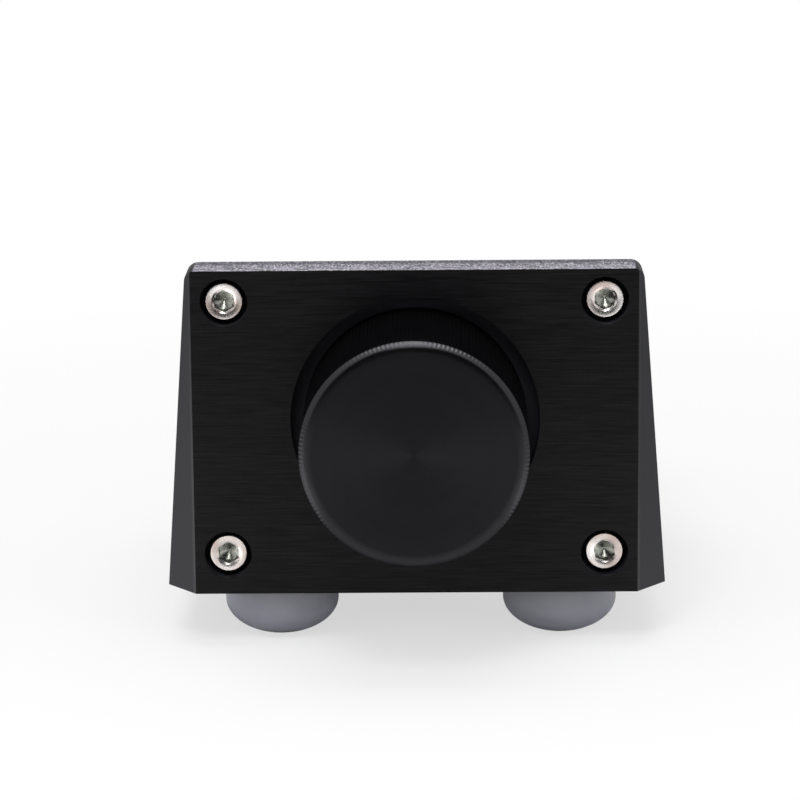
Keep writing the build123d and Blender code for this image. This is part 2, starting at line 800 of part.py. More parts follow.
os.makedirs("parts", exist_ok=True)
save("front_panel", front_panel())
save("front_panel_screws", cap_screws())
save("case_shell", case_shell())
save("base_plate", base_plate())
save("base_plate_screws", flat_screws(base_screw_spots))
save("rear_panel", rear_panel())
save("rear_panel_screws", rear_screws())
for name, (x, y) in foot_spots.items():
    save(name, foot(x, y))
save("knob", knob())
save("knob_set_screw", set_screw())
save("pot_shaft", pot_shaft())
save("pot_shaft_clip", shaft_clip())
save("pot_stop_disc", stop_disc())
save("pot_rotors", rotors())
save("pot_wipers", wipers())
save("pot_front_casting", pot_casting())
save("pot_gang_frames", gang_frames())
save("pot_track_wafers", track_wafers())
save("pot_terminals", [pot_pin(x, y, pin_end) for x, y in terminal_spots()])
save("pot_rear_plate", pot_rear_plate())
save("pot_tie_screws", tie_screws())
save("pot_washer", pot_washer())
save("pot_nut", pot_nut())
for name, x in zip(jack_names, jack_spots):
    save(name, jack_body(x))
save("jack_washers", jack_washers())
save("jack_nuts", jack_nuts())
save("jack_tip_springs", contact_springs("tip"))
save("jack_ring_springs", contact_springs("ring"))
save("jack_sleeve_terminals", sleeve_terminals())
save("main_board", main_board())
save("board_standoffs", standoffs())
save("board_screws", board_screws())
save("standoff_screws", flat_screws(standoff_spots))
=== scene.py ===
import json
import math

import bpy
import numpy as np
from mathutils import Matrix, Vector


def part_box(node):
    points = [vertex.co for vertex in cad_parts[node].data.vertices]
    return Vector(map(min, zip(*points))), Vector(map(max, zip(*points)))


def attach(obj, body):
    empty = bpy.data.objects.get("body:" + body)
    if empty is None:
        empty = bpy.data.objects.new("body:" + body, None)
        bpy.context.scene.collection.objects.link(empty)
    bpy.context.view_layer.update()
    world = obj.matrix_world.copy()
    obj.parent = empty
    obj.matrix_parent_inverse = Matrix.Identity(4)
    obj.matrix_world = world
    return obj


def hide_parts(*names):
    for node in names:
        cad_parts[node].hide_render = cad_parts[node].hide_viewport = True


# Studio monitor controller: a desk box with one large volume knob
# Metres, +Z up; the front faces -Y, and +X is to the right seen from the front
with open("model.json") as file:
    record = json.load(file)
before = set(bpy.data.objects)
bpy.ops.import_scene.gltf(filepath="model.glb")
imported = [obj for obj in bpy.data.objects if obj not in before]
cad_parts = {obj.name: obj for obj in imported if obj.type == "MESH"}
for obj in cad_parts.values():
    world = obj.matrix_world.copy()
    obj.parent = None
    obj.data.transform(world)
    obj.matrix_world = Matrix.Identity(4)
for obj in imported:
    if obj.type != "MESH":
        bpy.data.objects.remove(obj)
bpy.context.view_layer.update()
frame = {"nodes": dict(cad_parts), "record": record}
mm = 0.001

# Places that the looks are built on, read from the frame
panel_low, panel_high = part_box("front_panel")
knob_low, knob_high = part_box("knob")
rear_face_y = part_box("rear_panel")[1].y

# Front panel
face_half_width = 42.0 * mm
recess_lip = 0.4 * mm
top_skin_start, top_skin_end = 0.12 * mm, 0.04 * mm
back_strip_start, back_strip_end = 0.62, 0.68
mask_width = 0.2 * mm

# Knob
knob_x, knob_z = (knob_low.x + knob_high.x) / 2, (knob_low.z + knob_high.z) / 2
knob_radius = (knob_high.x - knob_low.x) / 2
knob_length = knob_high.y - knob_low.y
knob_chamfer = 1.0 * mm
knob_chamfer_start = math.radians(30)
knob_chamfer_end = math.radians(54)
knob_crown_width = 1.4 * mm
knob_crown_drop = 0.21 * mm
knob_back_chamfer = 0.6 * mm
knob_cavity_radius = 9.5 * mm
knob_cavity_depth = 3.5 * mm
knob_cavity_ease = 0.2 * mm
knob_bore_radius = 3.05 * mm
knob_bore_depth = 18.0 * mm
knob_groove_pitch = 0.13 * mm
knurl_count = 160
knurl_depth = 0.14 * mm
knurl_crest = 1.25
knurl_samples = 8
knurl_flute = 0.11 * mm
grub_hole_radius = 2.0 * mm
grub_hole_setback = 9.0 * mm

# Socket cap screws of the front panel
cap_head_radius = 3.5 * mm
cap_head_height = 4.0 * mm
cap_head_ease = 0.15 * mm
cap_face_inset = 0.05 * mm
cap_foot_ease = 0.25 * mm
cap_shank_radius = 1.95 * mm
cap_tip_chamfer = 0.5 * mm
cap_socket_flats = 3.7 * mm
cap_socket_depth = 1.5 * mm
cap_socket_point = 0.94 * mm
cap_floor_share = 0.98
cap_wall_depths = np.array([1.4, 1.0, 0.7, 0.5, 0.4, 0.32, 0.28, 0.24, 0.2, 0.16, 0.12, 0.08, 0.04]) * mm
cap_mouth_radius = 2.42 * mm
cap_mouth_lean = math.radians(64)
cap_mouth_ease = 0.04 * mm
cap_ridges = 48
cap_ridge_depth = 0.08 * mm
cap_rim_end, cap_ridge_start = 0.6 * mm, 0.8 * mm
cap_ridge_end, cap_foot_start = 3.4 * mm, 3.7 * mm
cap_turns = [math.radians(turn) for turn in (4, -6, 2, 9)]
screw_groove_pitch = 0.30 * mm

# Button screws of the rear panel
button_head_radius = 2.8 * mm
button_head_height = 1.8 * mm
button_rim_share = 0.18
button_shank_radius = 1.45 * mm
button_shank_length = 8.0 * mm
button_socket_flats = 2.0 * mm
button_socket_depth = 1.1 * mm
button_socket_middle = 0.9 * mm
button_socket_point = 0.3 * mm
button_point_share, button_floor_share = 0.3, 0.96
button_mouth_width = 0.15 * mm
button_mouth_drop = 0.2 * mm
button_turns = [math.radians(turn) for turn in (8, 50, 22, 35)]

# Jack noses
jack_nose_radius = 4.9 * mm
jack_bore_radius = 3.25 * mm
jack_thread_pitch = 0.75 * mm
jack_thread_depth = 0.13 * mm
jack_thread_root = 1.3
jack_nose_ease = 0.3 * mm

# Feet
foot_collar_height = 4.3 * mm
foot_seat_flat = 2.7 * mm
foot_top_inset = 0.6 * mm
foot_rim_inset, foot_rim_drop = 0.15 * mm, 0.05 * mm
foot_rim_ease = 0.25 * mm
foot_lip = 0.5 * mm
foot_lip_width, foot_lip_slope = 0.06 * mm, 0.2 * mm
foot_waist = 0.4 * mm
foot_painted_shade_start, foot_painted_shade_end = 1.0 * mm, 9.0 * mm


def piece_from(name, points, faces, crease=30):
    """New object at the origin, its faces turned outwards and its edges sharp past crease degrees."""
    points = np.asarray(points, float)
    mesh = bpy.data.meshes.new(name)
    mesh.from_pydata(points.tolist(), [], [list(map(int, face)) for face in faces])
    mesh.validate()
    mesh.calc_loop_triangles()
    corners = np.zeros(len(mesh.loop_triangles) * 3, np.int32)
    mesh.loop_triangles.foreach_get("vertices", corners)
    a, b, c = (points[corners.reshape(-1, 3)[:, k]] for k in range(3))
    if np.einsum("ij,ij->i", a, np.cross(b, c)).sum() < 0:
        mesh.flip_normals()
    mesh.shade_smooth()
    mesh.set_sharp_from_angle(angle=math.radians(crease))
    made = bpy.data.objects.new(name, mesh)
    bpy.context.scene.collection.objects.link(made)
    return made


def ring_quads(rows, columns):
    """Quads of a grid of points, row after row, whose last column joins its first."""
    row, column = np.meshgrid(np.arange(rows - 1), np.arange(columns), indexing="ij")
    here = (row * columns + column).ravel()
    beside = (row * columns + (column + 1) % columns).ravel()
    return np.stack([here, beside, beside + columns, here + columns], 1)


def round_skin(radii, along, centre, axis=(0, 1, 0)):
    """Points and faces of a closed skin round an axis.

    A point of the grid is centre + along * axis + radius * (cos t * across + sin t * up), where t runs once
    round the columns. The first and last rows close on a point of the axis.
    """
    radii = np.asarray(radii, float)
    rows, columns = radii.shape
    along = np.broadcast_to(np.asarray(along, float), (rows, columns))
    axis = np.array(axis, float)
    across = np.array([1.0, 0.0, 0.0])
    up = np.array([0.0, 0.0, 1.0]) if abs(axis[2]) < 0.5 else np.array([0.0, 1.0, 0.0])
    t = np.linspace(0, 2 * math.pi, columns, endpoint=False)
    out = np.cos(t)[:, None] * across + np.sin(t)[:, None] * up
    grid = np.array(centre, float) + along[..., None] * axis + radii[..., None] * out
    first = np.array(centre, float) + along[0].mean() * axis
    last = np.array(centre, float) + along[-1].mean() * axis
    points = np.concatenate([grid.reshape(-1, 3), [first, last]])
    count = rows * columns
    ring = np.arange(columns)
    end = (rows - 1) * columns
    faces = ring_quads(rows, columns).tolist()
    faces += [[count, b, a] for a, b in zip(ring, np.roll(ring, -1))]
    faces += [[count + 1, a, b] for a, b in zip(end + ring, end + np.roll(ring, -1))]
    return points, faces


def together(parts):
    """Points and faces of several skins as one."""
    points, faces, start = [], [], 0
    for part_points, part_faces in parts:
        points.append(part_points)
        faces += [[start + k for k in face] for face in part_faces]
        start += len(part_points)
    return np.concatenate(points), faces


def mark(made, name, values):
    """Give a piece a number at each of its points, for its material to read."""
    made.data.attributes.new(name, "FLOAT", "POINT").data.foreach_set("value", values.astype(np.float32))


def mark_turning(made, centres):
    """Mark from_axis: each point's distance, across the depth, from the nearest of the axes."""
    co = np.zeros(len(made.data.vertices) * 3, np.float32)
    made.data.vertices.foreach_get("co", co)
    flat = co.reshape(-1, 3)[:, [0, 2]]
    away = np.stack([np.linalg.norm(flat - np.array(c), axis=1) for c in centres])
    mark(made, "from_axis", away.min(0))


def column_of(profile):
    """A profile's radii and depths as two columns, one row for each of its points."""
    table = np.array(profile, float)
    return table[:, :1], table[:, 1:]


def rows_of(values, columns):
    """A grid with one row for each value, which is a single number or a whole row."""
    return np.stack([np.broadcast_to(value, columns) for value in values])


def hexagon_radius(flats, turns):
    """Radius of a hexagon at each angle: flats / 2 over the cosine of the angle off the nearest flat."""
    return flats / 2 / np.cos((turns + math.pi / 6) % (math.pi / 3) - math.pi / 6)


def four_spots(low, high, radius):
    """Axes of the round heads in the four corners of a box: above on the left and right, then below."""
    left, right = low.x + radius, high.x - radius
    below, above = low.z + radius, high.z - radius
    return [(left, above), (right, above), (left, below), (right, below)]


def settle(made):
    """Replace a piece's mesh by what its modifiers make of it."""
    bpy.context.view_layer.update()
    graph = bpy.context.evaluated_depsgraph_get()
    mesh = bpy.data.meshes.new_from_object(made.evaluated_get(graph))
    made.modifiers.clear()
    made.data = mesh


def knurl_radius(columns):
    """Radius of the grip at each angle: straight ridges, a triangle wave cut off at a narrow flat crest."""
    phase = (np.arange(columns) * knurl_count / columns) % 1.0
    height = np.clip(knurl_crest * (1 - np.abs(2 * phase - 1)), 0, 1)
    return knob_radius - knurl_depth * (1 - height)


def knob_outline():
    """Radii, depths and flutes of the knob's outside, from the middle of its face to its back.

    A flat face, then a crown whose drop grows as the square of the way across it, then a chamfer along an
    arc whose slope goes from knob_chamfer_start to knob_chamfer_end. The flutes deepen evenly across it.
    """
    rim = knob_radius - knob_chamfer
    crown = rim - knob_crown_width
    outline = [(crown * share, 0.0, 0.0) for share in (0.15, 0.4, 0.7, 0.93)]
    for share in np.linspace(0.05, 1.0, 9):
        outline.append((crown + knob_crown_width * share, knob_crown_drop * share * share, 0.0))
    first, last = knob_chamfer_start, knob_chamfer_end
    arc = knob_chamfer / (math.sin(last) - math.sin(first))
    for slope in np.linspace(first, last, 14)[1:]:
        across = arc * (math.sin(slope) - math.sin(first))
        down = arc * (math.cos(first) - math.cos(slope))
        outline.append((rim + across, knob_crown_drop + down, knurl_flute * across / knob_chamfer))
    outline += [(knob_radius, knob_length * share, 0.0) for share in (0.08, 0.3, 0.6, 0.9)]
    back = knob_length - knob_back_chamfer
    for share in np.linspace(0, 1, 5):
        outline.append((knob_radius - knob_back_chamfer * share, back + knob_back_chamfer * share, 0.0))
    return np.hsplit(np.array(outline), 3)


def knob_hollow():
    """Radii and depths of the knob's cavity and bore, from its back inwards."""
    floor = knob_length - knob_cavity_depth
    return column_of([
        (knob_cavity_radius + knob_cavity_ease, knob_length),
        (knob_cavity_radius, knob_length - knob_cavity_ease),
        (knob_cavity_radius, floor),
        (knob_bore_radius + knob_cavity_ease, floor),
        (knob_bore_radius, floor - knob_cavity_ease),
        (knob_bore_radius, knob_length - knob_bore_depth),
    ])


def cut_grub_hole(made):
    """Cut the grub screw's hole: a cylinder from just below the knob, as long as the knob's radius."""
    columns = 48
    reach = np.full((2, columns), grub_hole_radius)
    depths = np.array([[0.0], [knob_radius]])
    centre = (knob_x, knob_high.y - grub_hole_setback, knob_z - knob_radius - mm)
    cutter = piece_from("grub_hole", *round_skin(reach, depths, centre, axis=(0, 0, 1)))
    cut = made.modifiers.new("grub_hole", "BOOLEAN")
    cut.operation = "DIFFERENCE"
    cut.object = cutter
    cut.solver = "EXACT"
    settle(made)
    bpy.data.objects.remove(cutter)


def knob_piece():
    """Turned knob: its radius at each angle is the lesser of the outline, less the flutes, and the knurl.

    The flutes are a raised cosine round the knob, so that the ridges run out towards the face.
    """
    columns = knurl_count * knurl_samples
    wave = (1 - np.cos(2 * math.pi * knurl_count * np.arange(columns) / columns)) / 2
    outside, along_outside, flutes = knob_outline()
    inside, along_inside = knob_hollow()
    shell = np.minimum(outside - flutes * wave, knurl_radius(columns))
    radii = np.concatenate([shell, np.repeat(inside, columns, 1)])
    along = np.concatenate([along_outside, along_inside])
    centre = (knob_x, knob_low.y, knob_z)
    made = piece_from("volume_knob_turned", *round_skin(radii, along, centre), crease=24)
    cut_grub_hole(made)
    mark_turning(made, [(knob_x, knob_z)])
    return made


def cap_socket_rows(hexagon):
    """Radius, depth and mark of each row of a cap screw's socket, from its drilled point out to its mouth.

    The radius at each angle is the greater of the hexagon and the mouth's cone. The mark is 1 on the point
    and the hexagon, and 0 on the cone.
    """
    rows = []
    for share in (0.03, 0.2, 0.4, 0.6, 0.8, 0.96):
        rows.append((cap_socket_flats / 2 * share, cap_socket_depth + cap_socket_point * (1 - share), 1.0))
    rows.append((hexagon * cap_floor_share, cap_socket_depth, 1.0))
    for depth in cap_wall_depths:
        cone = cap_mouth_radius - math.tan(cap_mouth_lean) * depth
        rows.append((np.maximum(hexagon, cone), depth, (hexagon > cone).astype(float)))
    return rows


def cap_head_rows(t, length):
    """Radius, depth and mark of each row of a cap screw outside its socket, from the mouth to the tip.

    The head's edge is a quarter circle, and the ridges round the head are a rectified sine. The mark is 0.
    """
    rows = [
        (cap_mouth_radius + cap_mouth_ease, 0.0),
        (cap_head_radius - cap_head_ease - cap_face_inset, 0.0),
    ]
    for bend in np.linspace(0.1, 1.0, 5) * math.pi / 2:
        inset = cap_head_ease * (1 - math.sin(bend))
        rows.append((cap_head_radius - inset, cap_head_ease * (1 - math.cos(bend))))
    ridges = cap_head_radius - cap_ridge_depth * (1 - np.abs(np.sin(cap_ridges * t / 2)))
    rows += [
        (cap_head_radius, cap_rim_end),
        (ridges, cap_ridge_start),
        (ridges, cap_ridge_end),
        (cap_head_radius, cap_foot_start),
        (cap_head_radius - cap_foot_ease, cap_head_height),
        (cap_shank_radius, cap_head_height),
        (cap_shank_radius, length - cap_tip_chamfer),
        (cap_shank_radius - cap_tip_chamfer, length),
    ]
    return [(radius, depth, 0.0) for radius, depth in rows]


def cap_screw_skin(x, z, turn):
    """One socket cap screw, and a mark for each of its points, the two that close it included."""
    columns = 4 * cap_ridges
    t = np.linspace(0, 2 * math.pi, columns, endpoint=False)
    low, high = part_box("front_panel_screws")
    rows = cap_socket_rows(hexagon_radius(cap_socket_flats, t - turn)) + cap_head_rows(t, high.y - low.y)
    radii, depths, marks = zip(*rows)
    skin = round_skin(rows_of(radii, columns), np.array(depths)[:, None], (x, low.y, z))
    return skin, np.concatenate([rows_of(marks, columns).ravel(), [1.0, 0.0]])


def cap_screws_piece():
    """The four cap screws, each with its socket turned as it stopped."""
    spots = four_spots(*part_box("front_panel_screws"), cap_head_radius)
    skins, marks = zip(*[cap_screw_skin(x, z, turn) for (x, z), turn in zip(spots, cap_turns)])
    made = piece_from("panel_cap_screws", *together(skins), crease=28)
    mark_turning(made, spots)
    mark(made, "in_socket", np.concatenate(marks))
    return made


def button_screw_skin(x, z, turn):
    """One button screw driven forwards, its dome a quarter ellipse from the socket's mouth to the rim."""
    columns = 72
    t = np.linspace(0, 2 * math.pi, columns, endpoint=False)
    hexagon = hexagon_radius(button_socket_flats, t - turn)
    mouth = button_socket_flats / math.sqrt(3) + button_mouth_width
    top = button_head_height
    floor = top - button_socket_depth
    rows = [
        (hexagon * button_point_share, floor - button_socket_point),
        (hexagon * button_floor_share, floor),
        (hexagon, top - button_socket_middle),
        (np.maximum(hexagon, mouth - button_mouth_drop), top - button_mouth_drop),
    ]
    for bend in np.linspace(0.0, math.pi / 2, 12):
        radius = mouth + (button_head_radius - mouth) * math.sin(bend)
        rows.append((radius, top * (button_rim_share + (1 - button_rim_share) * math.cos(bend))))
    rows += [
        (button_head_radius, 0.0),
        (button_shank_radius, 0.0),
        (button_shank_radius, -button_shank_length),
    ]
    radii, heights = zip(*rows)
    return round_skin(rows_of(radii, columns), np.array(heights)[:, None], (x, rear_face_y, z))


def rear_screws_piece():
    """The four button screws of the rear panel."""
    spots = four_spots(*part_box("rear_panel_screws"), button_head_radius)
    skins = [button_screw_skin(x, z, turn) for (x, z), turn in zip(spots, button_turns)]
    made = piece_from("rear_button_screws", *together(skins), crease=28)
    mark_turning(made, spots)
    return made


def foot_piece(node):
    """Moulded dome: a collar with a small lip, then a half ellipse down to the flat that it stands on."""
    low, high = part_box(node)
    radius = (high.x - low.x) / 2
    waist = radius - foot_lip_width
    height = high.z - low.z
    dome = height - foot_collar_height
    lean = math.asin(foot_seat_flat / radius)
    reach = dome / math.cos(lean)
    outline = [
        (radius - foot_top_inset, height),
        (radius - foot_rim_inset, height - foot_rim_drop),
        (radius, height - foot_rim_ease),
        (radius, height - foot_lip),
        (waist, height - foot_lip - foot_lip_slope),
        (waist, dome + foot_waist),
    ]
    for bend in np.linspace(math.pi / 2, lean, 40):
        outline.append((waist * math.sin(bend), dome - reach * math.cos(bend)))
    outline += [(foot_seat_flat * share, 0.0) for share in (0.9, 0.4)]
    radii, along = column_of(outline)
    columns = 128
    centre = ((low.x + high.x) / 2, (low.y + high.y) / 2, low.z)
    skin = round_skin(np.repeat(radii, columns, 1), along, centre, axis=(0, 0, 1))
    return piece_from(node + "_dome", *skin, crease=50)


def jack_nose_skin(x):
    """Rows, depths and centre of one jack's nose, past its nut: a spiral ridge round the moulded nose.

    The ridge is a triangle wave of the depth, plus the angle's share of a pitch, cut off at a flat root.
    """
    low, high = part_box("jack_nuts")
    columns = 96
    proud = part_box("input_jack_left")[1].y - high.y
    depths = np.linspace(0.0, proud - jack_nose_ease, 24)
    share = np.linspace(0, 1, columns, endpoint=False)
    wave = np.abs(2 * ((depths[:, None] / jack_thread_pitch + share[None, :]) % 1.0) - 1)
    threads = jack_nose_radius - jack_thread_depth * np.clip(jack_thread_root * wave, 0, 1)
    inner = jack_nose_radius - jack_nose_ease
    rows = [inner, *threads, inner, jack_bore_radius, jack_bore_radius]
    along = [0.0, *depths, proud, proud, 0.0]
    return rows_of(rows, columns), np.array(along), (x, high.y, (low.z + high.z) / 2)


def open_tube(rows, along, centre):
    """Points and faces of a ring-shaped skin: the last row joins the first, so that the bore stays open."""
    points, _ = round_skin(rows, along[:, None], centre)
    count, columns = rows.shape
    points = points[: count * columns]
    faces = ring_quads(count, columns).tolist()
    ring = np.arange(columns)
    last = (count - 1) * columns
    faces += [[last + a, last + b, b, a] for a, b in zip(ring, np.roll(ring, -1))]
    return points, faces


def jack_noses_piece():
    """The four threaded noses, one over each jack's own."""
    low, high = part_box("jack_nuts")
    half = (high.z - low.z) / math.sqrt(3)
    skins = [open_tube(*jack_nose_skin(x)) for x in np.linspace(low.x + half, high.x - half, 4)]
    return piece_from("jack_threaded_noses", *together(skins), crease=40)


def ease_edges(node, width):
    """Weld a CAD node's loose triangles and bevel its sharp edges, by modifiers alone."""
    made = frame["nodes"][node]
    weld = made.modifiers.new("weld", "WELD")
    weld.merge_threshold = 0.002 * mm
    ease = made.modifiers.new("ease", "BEVEL")
    ease.width = width
    ease.segments = 2
    ease.limit_method = "ANGLE"
    ease.angle_limit = math.radians(35)
    ease.use_clamp_overlap = True
    ease.harden_normals = True


def node_group(name, inputs, outputs):
    """Empty shader group with its named inputs and outputs, and its two end nodes."""
    group = bpy.data.node_groups.new(name, "ShaderNodeTree")
    for label, kind, value in inputs:
        socket = group.interface.new_socket(label, in_out="INPUT", socket_type=kind)
        if value is not None:
            socket.default_value = value
    for label, kind in outputs:
        group.interface.new_socket(label, in_out="OUTPUT", socket_type=kind)
    return group, group.nodes.new("NodeGroupInput"), group.nodes.new("NodeGroupOutput")


def math_node(tree, operation, first, second=None, third=None):
    """Math node whose inputs are sockets or numbers; gives back its output."""
    made = tree.nodes.new("ShaderNodeMath")
    made.operation = operation
    for slot, value in enumerate((first, second, third)):
        if value is None:
            continue
        if isinstance(value, (int, float)):
            made.inputs[slot].default_value = value
        else:
            tree.links.new(value, made.inputs[slot])
    return made.outputs[0]


def noise_node(tree, vector, scale, detail=2.0, roughness=0.5):
    """Noise over a vector, centred on 0.5; gives back its value."""
    made = tree.nodes.new("ShaderNodeTexNoise")
    made.inputs["Scale"].default_value = scale
    made.inputs["Detail"].default_value = detail
    made.inputs["Roughness"].default_value = roughness
    tree.links.new(vector, made.inputs["Vector"])
    return made.outputs[0]


def stretched(tree, vector, scales):
    """A vector scaled by another amount along each axis."""
    made = tree.nodes.new("ShaderNodeMapping")
    made.vector_type = "POINT"
    made.inputs["Scale"].default_value = scales
    tree.links.new(vector, made.inputs["Vector"])
    return made.outputs[0]


def spread(tree, value, low, high, out_low=0.0, out_high=1.0):
    """Map a range of a value onto another, clamped; gives back the result."""
    made = tree.nodes.new("ShaderNodeMapRange")
    made.clamp = True
    for label, number in (("From Min", low), ("From Max", high), ("To Min", out_low), ("To Max", out_high)):
        made.inputs[label].default_value = number
    tree.links.new(value, made.inputs["Value"])
    return made.outputs[0]


def marked(tree, name):
    """The number that a piece carries under that name at each of its points."""
    made = tree.nodes.new("ShaderNodeAttribute")
    made.attribute_name = name
    return made.outputs["Fac"]


def brushed_streaks_group():
    """Straight grain: fine and coarse streaks that run along X."""
    group, start, end = node_group(
        "brushed_streaks",
        [("Vector", "NodeSocketVector", None)],
        [("Fine", "NodeSocketFloat"), ("Coarse", "NodeSocketFloat")],
    )
    fine = stretched(group, start.outputs["Vector"], (130.0, 4200.0, 4200.0))
    coarse = stretched(group, start.outputs["Vector"], (30.0, 1300.0, 1300.0))
    group.links.new(spread(group, noise_node(group, fine, 1.0, 2.0, 0.6), 0.28, 0.72), end.inputs["Fine"])
    group.links.new(noise_node(group, coarse, 1.0, 2.0, 0.5), end.inputs["Coarse"])
    return group


def turned_rings_group():
    """Lathe marks by the distance from the axis alone: even grooves, a sine, and slow bands of noise."""
    group, start, end = node_group(
        "turned_rings",
        [("Pitch", "NodeSocketFloat", 0.0002)],
        [("Grooves", "NodeSocketFloat"), ("Bands", "NodeSocketFloat")],
    )
    turns = math_node(group, "DIVIDE", marked(group, "from_axis"), start.outputs["Pitch"])
    wave = math_node(group, "SINE", math_node(group, "MULTIPLY", turns, 2 * math.pi))
    group.links.new(math_node(group, "MULTIPLY_ADD", wave, 0.5, 0.5), end.inputs["Grooves"])
    noise = group.nodes.new("ShaderNodeTexNoise")
    noise.noise_dimensions = "1D"
    noise.inputs["Scale"].default_value = 0.05
    noise.inputs["Detail"].default_value = 2.0
    group.links.new(turns, noise.inputs["W"])
    group.links.new(noise.outputs[0], end.inputs["Bands"])
    return group


def blasted_group():
    """Bead-blasted metal: small pits all over, with a slow drift in how dense they lie."""
    group, start, end = node_group(
        "blasted_skin",
        [("Vector", "NodeSocketVector", None), ("Scale", "NodeSocketFloat", 2600.0)],
        [("Pits", "NodeSocketFloat"), ("Drift", "NodeSocketFloat")],
    )
    pits = group.nodes.new("ShaderNodeTexNoise")
    pits.inputs["Detail"].default_value = 3.0
    pits.inputs["Roughness"].default_value = 0.6
    group.links.new(start.outputs["Vector"], pits.inputs["Vector"])
    group.links.new(start.outputs["Scale"], pits.inputs["Scale"])
    group.links.new(pits.outputs[0], end.inputs["Pits"])
    group.links.new(noise_node(group, start.outputs["Vector"], 55.0, 3.0, 0.55), end.inputs["Drift"])
    return group


def dust_group():
    """Dust: a few small pale specks, more of them where a slow noise is high."""
    group, start, end = node_group(
        "fine_dust",
        [("Vector", "NodeSocketVector", None), ("Amount", "NodeSocketFloat", 0.5)],
        [("Specks", "NodeSocketFloat")],
    )
    cells = group.nodes.new("ShaderNodeTexVoronoi")
    cells.inputs["Scale"].default_value = 900.0
    group.links.new(start.outputs["Vector"], cells.inputs["Vector"])
    near = spread(group, cells.outputs["Distance"], 0.04, 0.11, 1.0, 0.0)
    slow = spread(group, noise_node(group, start.outputs["Vector"], 140.0, 2.0), 0.55, 0.72)
    both = math_node(group, "MULTIPLY", near, slow)
    group.links.new(math_node(group, "MULTIPLY", both, start.outputs["Amount"]), end.inputs["Specks"])
    return group


def sawn_sparkle_group():
    """Sawn and brushed edge: short glints, some strong and most faint, over streaks stretched out along X.
    """
    group, start, end = node_group(
        "sawn_sparkle",
        [("Vector", "NodeSocketVector", None)],
        [("Glints", "NodeSocketFloat"), ("Streaks", "NodeSocketFloat")],
    )
    short = stretched(group, start.outputs["Vector"], (3000.0, 1100.0, 1100.0))
    long = stretched(group, start.outputs["Vector"], (260.0, 1500.0, 1500.0))
    glints = spread(group, noise_node(group, short, 1.0, 3.0, 0.65), 0.45, 0.78)
    streaks = spread(group, noise_node(group, long, 1.0, 2.0, 0.5), 0.34, 0.66)
    group.links.new(glints, end.inputs["Glints"])
    group.links.new(streaks, end.inputs["Streaks"])
    return group


brushed_streaks = brushed_streaks_group()
turned_rings = turned_rings_group()
blasted_skin = blasted_group()
fine_dust = dust_group()
sawn_sparkle = sawn_sparkle_group()


class Finish:
    """A material under way: its node tree, its shader and its object coordinates."""

    def __init__(self, name, metallic=0.0, ior=1.45):
        self.material = bpy.data.materials.new(name)
        self.material.use_nodes = True
        self.tree = self.material.node_tree
        self.shader = self.tree.nodes["Principled BSDF"]
        self.shader.inputs["Metallic"].default_value = metallic
        self.shader.inputs["IOR"].default_value = ior
        self.where = self.tree.nodes.new("ShaderNodeTexCoord").outputs["Object"]

    def axes(self):
        """The object coordinates one by one."""
        made = self.tree.nodes.new("ShaderNodeSeparateXYZ")
        self.tree.links.new(self.where, made.inputs[0])
        return made.outputs

    def feed(self, label, value):
        """Link a value to one of the shader's own sockets."""
        self.tree.links.new(value, self.shader.inputs[label])

    def group(self, group, **values):
        """Place a group, with the object coordinates where it asks for a vector."""
        made = self.tree.nodes.new("ShaderNodeGroup")
        made.node_tree = group
        for label, value in values.items():
            made.inputs[label].default_value = value
        if "Vector" in made.inputs:
            self.tree.links.new(self.where, made.inputs["Vector"])
        return made.outputs

    def colour(self, low, high, mask):
        """Base colour that goes from low to high with a mask."""
        self.feed("Base Color", self.mixed(low, high, mask))

    def mixed(self, low, high, mask):
        """Mix of two colours by a mask; each is a plain colour or a socket."""
        mix = self.tree.nodes.new("ShaderNodeMix")
        mix.data_type = "RGBA"
        self.tree.links.new(mask, mix.inputs["Factor"])
        for slot, value in ((6, low), (7, high)):
            if isinstance(value, tuple):
                mix.inputs[slot].default_value = (*value, 1.0)
            else:
                self.tree.links.new(value, mix.inputs[slot])
        return mix.outputs[2]

    def rough(self, mask, low, high):
        """Roughness between two values by a mask."""
        self.feed("Roughness", spread(self.tree, mask, 0.25, 0.75, low, high))

    def bump(self, height, distance, strength=1.0, before=None):
        """Bump of a height, in metres of depth, laid over an earlier one."""
        made = self.tree.nodes.new("ShaderNodeBump")
        made.inputs["Strength"].default_value = strength
        made.inputs["Distance"].default_value = distance
        self.tree.links.new(height, made.inputs["Height"])
        if before is not None:
            self.tree.links.new(before, made.inputs["Normal"])
        self.feed("Normal", made.outputs[0])
        return made.outputs[0]


